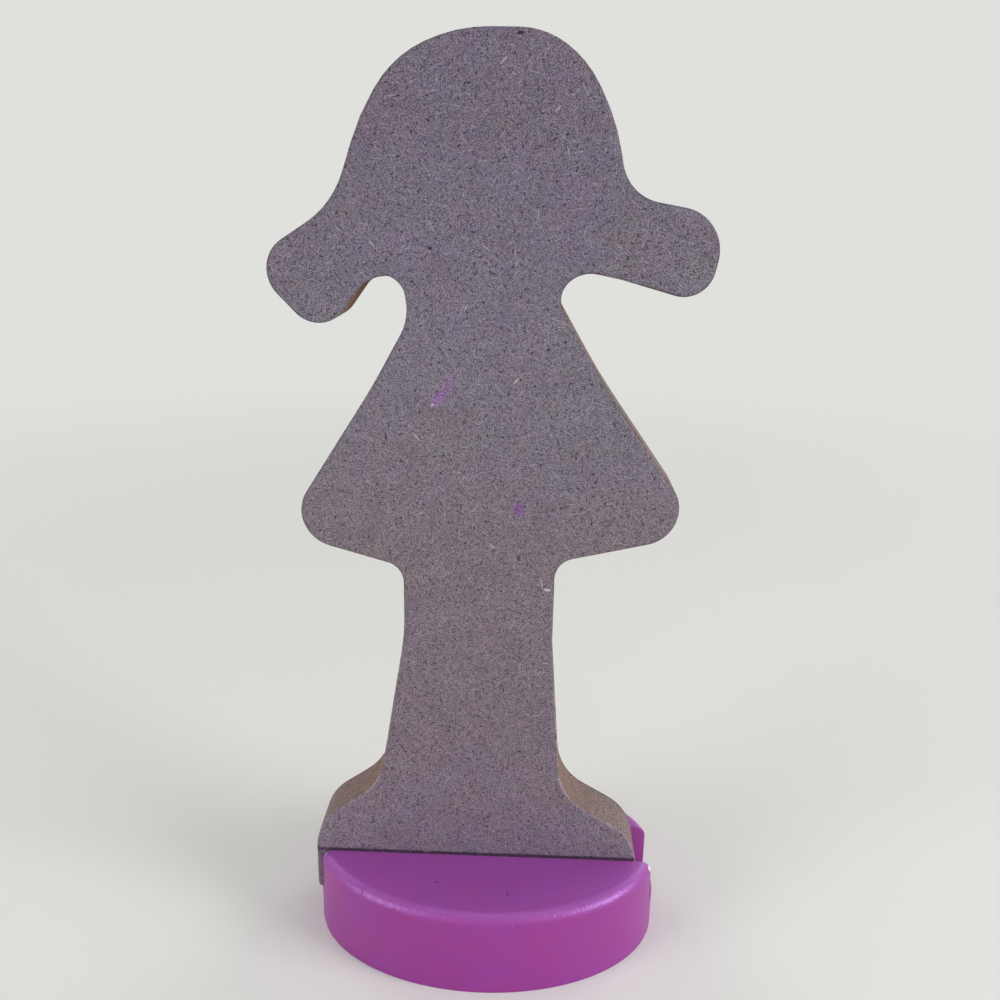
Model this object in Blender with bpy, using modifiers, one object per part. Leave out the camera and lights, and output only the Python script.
"""Magnetic dress-up doll: a thick board figure that stands in the slot of an oval block.

Units are metres, +Z is up, and the origin is the middle of the block's underside.
The bare back of the figure faces -Y and its printed front faces +Y.
Left and right are as seen from the bare back.
"""

import math

import bmesh
import bpy
from mathutils import Vector

# Oval stand
STAND_WIDTH = 0.0736
STAND_DEPTH = 0.0528
STAND_HEIGHT = 0.0180
STAND_EDGE_RADIUS = 0.0027
SLOT_DEPTH = 0.0100
SLOT_CLEARANCE = 0.0003

# Figure board, and where it stands along the slot
BOARD_THICKNESS = 0.0120
BOARD_EDGE_EASE = 0.0005
BOARD_SHIFT = -0.0023
SEAT_GAP = 0.0003

# Heights of the figure, each from the level below it, starting at the stand's top
TOE_RISE = 0.00555
INSTEP_RISE = 0.00975
CALF_LENGTH = 0.03510
THIGH_LENGTH = 0.01620
HEM_RISE = 0.00675
DRESS_LENGTH = 0.04380
NECK_LENGTH = 0.00580
HAIR_LENGTH = 0.01315
TEMPLE_RISE = 0.01405
CROWN_RISE = 0.01455

# Heights of two bends in the outline: the dress above its hem corner, the brow above the temple
WAIST_RISE = 0.02960
BROW_RISE = 0.00960

# How much higher the right side is cut than the middle, and the left side lower
FOOT_SKEW = -0.0008
HEM_SKEW = 0.0009
NECK_SKEW = 0.00225
HEAD_SKEW = 0.0011

# Distances of the outline's corners from the figure's centre line
TAB_HALF_WIDTH = 0.03465
LEG_HALF_WIDTH = 0.01505
NECK_HALF_WIDTH = 0.01350
LEFT_ANKLE = 0.02070
RIGHT_ANKLE = 0.01775
LEFT_HEM = 0.03935
RIGHT_HEM = 0.04380
LEFT_WAIST = 0.02055
RIGHT_WAIST = 0.02270
LEFT_NOTCH = 0.01485
RIGHT_NOTCH = 0.01790
LEFT_CHEEK = 0.02720
RIGHT_CHEEK = 0.02590
LEFT_TEMPLE = 0.02215
RIGHT_TEMPLE = 0.02320
LEFT_BROW = 0.01600
RIGHT_BROW = 0.01770
LEFT_CROWN = 0.00510
RIGHT_CROWN = 0.01025

# Pigtails: the left one droops, the right one points outwards
LEFT_PIGTAIL_REACH = 0.01620
LEFT_PIGTAIL_DROP = 0.01060
LEFT_PIGTAIL_TURN_IN = 0.01360
LEFT_PIGTAIL_HANG = 0.01405
LEFT_PIGTAIL_ROOT = 0.00675
RIGHT_PIGTAIL_REACH = 0.01835
RIGHT_PIGTAIL_DROP = 0.00315
RIGHT_PIGTAIL_WIDTH = 0.01575
RIGHT_PIGTAIL_SLANT = 0.00305
RIGHT_PIGTAIL_ROOT = 0.00745
RIGHT_PIGTAIL_SAG = 0.00145

# Corner radii of the figure's outline
TAB_RADIUS = 0.0010
TOE_RADIUS = 0.0115
ANKLE_RADIUS = 0.0122
KNEE_RADIUS = 0.0400
HEM_LEG_RADIUS = 0.0044
HEM_CORNER_RADIUS = 0.0074
WAIST_RADIUS = 0.1200
NECK_RADIUS = 0.0140
LEFT_NOTCH_RADIUS = 0.0031
RIGHT_NOTCH_RADIUS = 0.0062
TEMPLE_RADIUS = 0.0390
BROW_RADIUS = 0.0220
CROWN_RADIUS = 0.0276
LEFT_PIGTAIL_TIP_RADIUS = 0.0064
LEFT_PIGTAIL_CROOK_RADIUS = 0.0170
LEFT_PIGTAIL_PIT_RADIUS = 0.0042
RIGHT_PIGTAIL_TIP_RADIUS = 0.0080
RIGHT_PIGTAIL_END_RADIUS = 0.0057
RIGHT_PIGTAIL_CROOK_RADIUS = 0.0082
RIGHT_PIGTAIL_ROOT_RADIUS = 0.0149

# Magnets let into the front of the board, where clothes and things to hold are put
MAGNET_DIAMETER = 0.0080
MAGNET_THICKNESS = 0.0020
MAGNET_CLEARANCE = 0.0002
MAGNET_EDGE_BEVEL = 0.0002
CHEST_BELOW_NECK = 0.0140
WAIST_ABOVE_HEM = 0.0080
HAND_INSET = 0.0130
HAND_LIFT = 0.0045
SHOE_OFFSET = 0.0200
SHOE_LIFT = 0.0010

# Printed facing glued on the front
FACING_THICKNESS = 0.0004
FACING_GLUE_GAP = 0.0003
FACING_INSET = 0.0006
FACING_ABOVE_STAND = 0.0010

# Fineness of the curved faces
ARC_STEP = math.radians(7.5)
OVAL_SIDES = 96
EDGE_SEGMENTS = 5
MAGNET_SIDES = 32
SHARP_ANGLE = math.radians(30)
MERGE_DISTANCE = 0.000001
CUT_OVERSHOOT = 0.0050

# Levels of the figure above its underside, which stands SEAT_GAP over the slot's floor
SLOT_FLOOR = STAND_HEIGHT - SLOT_DEPTH
STAND_TOP = SLOT_DEPTH - SEAT_GAP
TOE = STAND_TOP + TOE_RISE
ANKLE = TOE + INSTEP_RISE
KNEE = ANKLE + CALF_LENGTH
HEM = KNEE + THIGH_LENGTH
HEM_CORNER = HEM + HEM_RISE
WAIST = HEM_CORNER + WAIST_RISE
NECK = HEM_CORNER + DRESS_LENGTH
NOTCH = NECK + NECK_LENGTH
CHEEK = NOTCH + HAIR_LENGTH
TEMPLE = CHEEK + TEMPLE_RISE
BROW = TEMPLE + BROW_RISE
CROWN = TEMPLE + CROWN_RISE


def new_collection(name):
    collection = bpy.data.collections.new(name)
    bpy.context.scene.collection.children.link(collection)
    return collection


def new_material(name, colour, roughness, metallic=0.0):
    material = bpy.data.materials.new(name)
    material.use_nodes = True
    shader = material.node_tree.nodes["Principled BSDF"]
    shader.inputs["Base Color"].default_value = (*colour, 1.0)
    shader.inputs["Roughness"].default_value = roughness
    shader.inputs["Metallic"].default_value = metallic
    return material


def figure_corners():
    """Corners of the outline as (point, radius), counter-clockwise from the lower left."""
    left_notch = NOTCH - HEAD_SKEW
    right_notch = NOTCH + HEAD_SKEW
    left_cheek = CHEEK - HEAD_SKEW
    right_cheek = CHEEK + HEAD_SKEW
    right_tip = RIGHT_CHEEK + RIGHT_PIGTAIL_REACH
    right_tip_top = right_cheek - RIGHT_PIGTAIL_DROP
    left_tip = LEFT_CHEEK + LEFT_PIGTAIL_REACH
    left_tip_top = left_cheek - LEFT_PIGTAIL_DROP
    right_end = right_tip - RIGHT_PIGTAIL_SLANT
    right_root = RIGHT_NOTCH + RIGHT_PIGTAIL_ROOT
    right_side = [
        (TAB_HALF_WIDTH, 0.0, TAB_RADIUS),
        (TAB_HALF_WIDTH, TOE + FOOT_SKEW, TOE_RADIUS),
        (RIGHT_ANKLE, ANKLE + FOOT_SKEW, ANKLE_RADIUS),
        (LEG_HALF_WIDTH, KNEE + FOOT_SKEW, KNEE_RADIUS),
        (LEG_HALF_WIDTH, HEM + HEM_SKEW, HEM_LEG_RADIUS),
        (RIGHT_HEM, HEM_CORNER + HEM_SKEW, HEM_CORNER_RADIUS),
        (RIGHT_WAIST, WAIST + HEM_SKEW, WAIST_RADIUS),
        (NECK_HALF_WIDTH, NECK + NECK_SKEW, NECK_RADIUS),
        (RIGHT_NOTCH, right_notch, RIGHT_NOTCH_RADIUS),
        (right_root, right_notch - RIGHT_PIGTAIL_SAG, RIGHT_PIGTAIL_ROOT_RADIUS),
        (right_end, right_tip_top - RIGHT_PIGTAIL_WIDTH, RIGHT_PIGTAIL_END_RADIUS),
        (right_tip, right_tip_top, RIGHT_PIGTAIL_TIP_RADIUS),
        (RIGHT_CHEEK, right_cheek, RIGHT_PIGTAIL_CROOK_RADIUS),
        (RIGHT_TEMPLE, TEMPLE, TEMPLE_RADIUS),
        (RIGHT_BROW, BROW, BROW_RADIUS),
        (RIGHT_CROWN, CROWN, CROWN_RADIUS),
    ]
    left_side = [
        (LEFT_CROWN, CROWN, CROWN_RADIUS),
        (LEFT_BROW, BROW, BROW_RADIUS),
        (LEFT_TEMPLE, TEMPLE, TEMPLE_RADIUS),
        (LEFT_CHEEK, left_cheek, LEFT_PIGTAIL_CROOK_RADIUS),
        (left_tip, left_tip_top, LEFT_PIGTAIL_TIP_RADIUS),
        (left_tip - LEFT_PIGTAIL_TURN_IN, left_tip_top - LEFT_PIGTAIL_HANG, LEFT_PIGTAIL_TIP_RADIUS),
        (LEFT_NOTCH + LEFT_PIGTAIL_ROOT, left_notch, LEFT_PIGTAIL_PIT_RADIUS),
        (LEFT_NOTCH, left_notch, LEFT_NOTCH_RADIUS),
        (NECK_HALF_WIDTH, NECK - NECK_SKEW, NECK_RADIUS),
        (LEFT_WAIST, WAIST - HEM_SKEW, WAIST_RADIUS),
        (LEFT_HEM, HEM_CORNER - HEM_SKEW, HEM_CORNER_RADIUS),
        (LEG_HALF_WIDTH, HEM - HEM_SKEW, HEM_LEG_RADIUS),
        (LEG_HALF_WIDTH, KNEE - FOOT_SKEW, KNEE_RADIUS),
        (LEFT_ANKLE, ANKLE - FOOT_SKEW, ANKLE_RADIUS),
        (TAB_HALF_WIDTH, TOE - FOOT_SKEW, TOE_RADIUS),
        (TAB_HALF_WIDTH, 0.0, TAB_RADIUS),
    ]
    corners = [(Vector((across, height)), radius) for across, height, radius in right_side]
    corners += [(Vector((-across, height)), radius) for across, height, radius in left_side]
    return corners


def neighbours(corners, index):
    before = corners[index - 1][0]
    after = corners[(index + 1) % len(corners)][0]
    return before, after


def inset_corners(corners, inset):
    """Corners of the outline drawn inwards by inset, with the round corners kept parallel."""
    moved = []
    for index, (point, radius) in enumerate(corners):
        before, after = neighbours(corners, index)
        arriving = (point - before).normalized()
        leaving = (after - point).normalized()
        normal_in = Vector((-arriving.y, arriving.x))
        normal_out = Vector((-leaving.y, leaving.x))
        shift = inset * (normal_in + normal_out) / (1 + normal_in.dot(normal_out))
        turns_outwards = arriving.cross(leaving) > 0
        new_radius = radius - inset if turns_outwards else radius + inset
        moved.append((point + shift, max(new_radius, inset)))
    return moved


def rounded_outline(corners):
    """Points along the outline, with each corner replaced by an arc of its radius."""
    points = []
    for index, (point, radius) in enumerate(corners):
        before, after = neighbours(corners, index)
        arriving = (point - before).normalized()
        leaving = (after - point).normalized()
        turn = math.atan2(arriving.cross(leaving), arriving.dot(leaving))
        room = min((point - before).length, (after - point).length) / 2
        tangent = min(radius * math.tan(abs(turn) / 2), room)
        fitted_radius = tangent / math.tan(abs(turn) / 2)
        side = math.copysign(1.0, turn)
        centre = point - arriving * tangent
        centre += Vector((-arriving.y, arriving.x)) * fitted_radius * side
        spoke = point - arriving * tangent - centre
        steps = max(2, math.ceil(abs(turn) / ARC_STEP))
        for step in range(steps + 1):
            angle = turn * step / steps
            turned = Vector((
                spoke.x * math.cos(angle) - spoke.y * math.sin(angle),
                spoke.x * math.sin(angle) + spoke.y * math.cos(angle),
            ))
            points.append(centre + turned)
    return points


def trimmed_below(points, level):
    """The outline without what lies below a level, closed by a straight edge along it."""
    kept = []
    for index, point in enumerate(points):
        before = points[index - 1]
        if (before.y < level) != (point.y < level):
            kept.append(before.lerp(point, (level - before.y) / (point.y - before.y)))
        if point.y >= level:
            kept.append(point)
    return kept


def upright_plate(name, points, thickness):
    """A plate cut to an outline, standing upright with the outline's own up as +Z."""
    curve = bpy.data.curves.new(name, "CURVE")
    curve.dimensions = "2D"
    curve.fill_mode = "BOTH"
    curve.extrude = thickness / 2
    spline = curve.splines.new("POLY")
    spline.points.add(len(points) - 1)
    for spline_point, point in zip(spline.points, points):
        spline_point.co = (point.x, point.y, 0.0, 1.0)
    spline.use_cyclic_u = True
    outline = bpy.data.objects.new(name + "_outline", curve)
    bpy.context.scene.collection.objects.link(outline)
    outline.rotation_euler.x = math.pi / 2
    bpy.context.view_layer.update()
    evaluated = outline.evaluated_get(bpy.context.evaluated_depsgraph_get())
    mesh = bpy.data.meshes.new_from_object(evaluated)
    mesh.name = name
    shaped = bmesh.new()
    shaped.from_mesh(mesh)
    bmesh.ops.remove_doubles(shaped, verts=shaped.verts, dist=MERGE_DISTANCE)
    bmesh.ops.dissolve_limit(shaped, angle_limit=ARC_STEP / 10, verts=shaped.verts, edges=shaped.edges)
    bmesh.ops.recalc_face_normals(shaped, faces=shaped.faces)
    shaped.to_mesh(mesh)
    shaped.free()
    plate = bpy.data.objects.new(name, mesh)
    plate.matrix_world = outline.matrix_world
    bpy.data.objects.remove(outline)
    parts.objects.link(plate)
    return plate


def new_disc(name, diameter, thickness, collection):
    """A round disc whose axis lies along Y."""
    mesh = bpy.data.meshes.new(name)
    shaped = bmesh.new()
    bmesh.ops.create_cone(
        shaped, cap_ends=True, segments=MAGNET_SIDES,
        radius1=diameter / 2, radius2=diameter / 2, depth=thickness,
    )
    shaped.to_mesh(mesh)
    shaped.free()
    disc = bpy.data.objects.new(name, mesh)
    disc.rotation_euler.x = math.pi / 2
    collection.objects.link(disc)
    return disc


def new_box_cutter(name, size, centre):
    mesh = bpy.data.meshes.new(name)
    shaped = bmesh.new()
    bmesh.ops.create_cube(shaped, size=1.0)
    bmesh.ops.scale(shaped, vec=size, verts=shaped.verts)
    shaped.to_mesh(mesh)
    shaped.free()
    cutter = bpy.data.objects.new(name, mesh)
    cutter.location = centre
    cutters.objects.link(cutter)
    return cutter


def cut(target, cutter):
    cutter.hide_render = True
    cutter.display_type = "WIRE"
    boolean = target.modifiers.new("cut_" + cutter.name, "BOOLEAN")
    boolean.operation = "DIFFERENCE"
    boolean.solver = "EXACT"
    boolean.object = cutter


def soften_edges(target, width, segments):
    bevel = target.modifiers.new("soft_edges", "BEVEL")
    bevel.width = width
    bevel.segments = segments
    bevel.limit_method = "ANGLE"
    bevel.angle_limit = SHARP_ANGLE


def finish(target, material):
    target.data.materials.append(material)
    target.data.shade_smooth()
    target.data.set_sharp_from_angle(angle=SHARP_ANGLE)


def build_stand():
    """Oval block with a rounded upper rim and a slot that is open at both ends."""
    mesh = bpy.data.meshes.new("stand_block")
    shaped = bmesh.new()
    bmesh.ops.create_cone(
        shaped, cap_ends=True, segments=OVAL_SIDES,
        radius1=STAND_WIDTH / 2, radius2=STAND_WIDTH / 2, depth=STAND_HEIGHT,
    )
    bmesh.ops.scale(shaped, vec=(1.0, STAND_DEPTH / STAND_WIDTH, 1.0), verts=shaped.verts)
    shaped.to_mesh(mesh)
    weights = mesh.attributes.new("bevel_weight_edge", "FLOAT", "EDGE")
    for edge in mesh.edges:
        on_top_rim = all(mesh.vertices[corner].co.z > 0 for corner in edge.vertices)
        weights.data[edge.index].value = 1.0 if on_top_rim else 0.0
    shaped.free()
    stand = bpy.data.objects.new("stand_block", mesh)
    stand.location.z = STAND_HEIGHT / 2
    parts.objects.link(stand)
    rim = stand.modifiers.new("rounded_rim", "BEVEL")
    rim.width = STAND_EDGE_RADIUS
    rim.segments = EDGE_SEGMENTS
    rim.limit_method = "WEIGHT"
    slot_size = (
        STAND_WIDTH + 2 * CUT_OVERSHOOT,
        BOARD_THICKNESS + 2 * SLOT_CLEARANCE,
        SLOT_DEPTH + CUT_OVERSHOOT,
    )
    slot_centre = (0.0, 0.0, SLOT_FLOOR + slot_size[2] / 2)
    cut(stand, new_box_cutter("board_slot", slot_size, slot_centre))
    finish(stand, new_material("purple_gloss_paint", (0.29, 0.065, 0.27), 0.25))


def build_board():
    """Figure cut from thick board, its edges eased and its lower tab left square for the slot."""
    board = upright_plate("figure_board", rounded_outline(figure_corners()), BOARD_THICKNESS)
    board.parent = doll
    soften_edges(board, BOARD_EDGE_EASE, 2)
    finish(board, new_material("raw_fibreboard", (0.18, 0.145, 0.18), 0.85))
    return board


def magnet_places():
    """Name, distance right of the centre line, and height of each magnet."""
    hand = HEM_CORNER + HAND_LIFT
    shoe = TOE + SHOE_LIFT
    return [
        ("head_magnet", 0.0, (CHEEK + TEMPLE) / 2),
        ("chest_magnet", 0.0, NECK - CHEST_BELOW_NECK),
        ("waist_magnet", 0.0, HEM_CORNER + WAIST_ABOVE_HEM),
        ("left_hand_magnet", HAND_INSET - LEFT_HEM, hand - HEM_SKEW),
        ("right_hand_magnet", RIGHT_HEM - HAND_INSET, hand + HEM_SKEW),
        ("left_shoe_magnet", -SHOE_OFFSET, shoe - FOOT_SKEW),
        ("right_shoe_magnet", SHOE_OFFSET, shoe + FOOT_SKEW),
    ]


def build_magnets(board):
    """Disc magnets, each in a blind pocket drilled in the front of the board."""
    plating = new_material("nickel_plating", (0.62, 0.61, 0.58), 0.3, 1.0)
    pocket_depth = MAGNET_THICKNESS + 2 * MAGNET_CLEARANCE
    pocket_diameter = MAGNET_DIAMETER + 2 * MAGNET_CLEARANCE
    front = BOARD_THICKNESS / 2
    for name, across, height in magnet_places():
        pocket = new_disc(name + "_pocket", pocket_diameter, pocket_depth + CUT_OVERSHOOT, cutters)
        pocket.parent = doll
        pocket.location = (across, front + (CUT_OVERSHOOT - pocket_depth) / 2, height)
        cut(board, pocket)
        magnet = new_disc(name, MAGNET_DIAMETER, MAGNET_THICKNESS, parts)
        magnet.parent = doll
        magnet.location = (across, front - pocket_depth / 2, height)
        soften_edges(magnet, MAGNET_EDGE_BEVEL, 1)
        finish(magnet, plating)


def build_facing():
    """Printed sheet glued on the front, inside the eased edge and clear of the slot."""
    outline = rounded_outline(inset_corners(figure_corners(), FACING_INSET))
    trimmed = trimmed_below(outline, STAND_TOP + FACING_ABOVE_STAND)
    facing = upright_plate("printed_facing", trimmed, FACING_THICKNESS)
    facing.parent = doll
    facing.location.y = BOARD_THICKNESS / 2 + FACING_GLUE_GAP + FACING_THICKNESS / 2
    finish(facing, new_material("printed_sheet", (0.80, 0.62, 0.52), 0.4))


for old_object in list(bpy.data.objects):
    bpy.data.objects.remove(old_object)

parts = new_collection("magnetic_dress_up_doll")
cutters = new_collection("cutters")

# The figure lifts straight up out of the slot, so its pieces hang on one empty at its underside
doll = bpy.data.objects.new("doll_lift_axis", None)
doll.location = (BOARD_SHIFT, 0.0, SLOT_FLOOR + SEAT_GAP)
parts.objects.link(doll)

build_stand()
build_magnets(build_board())
build_facing()
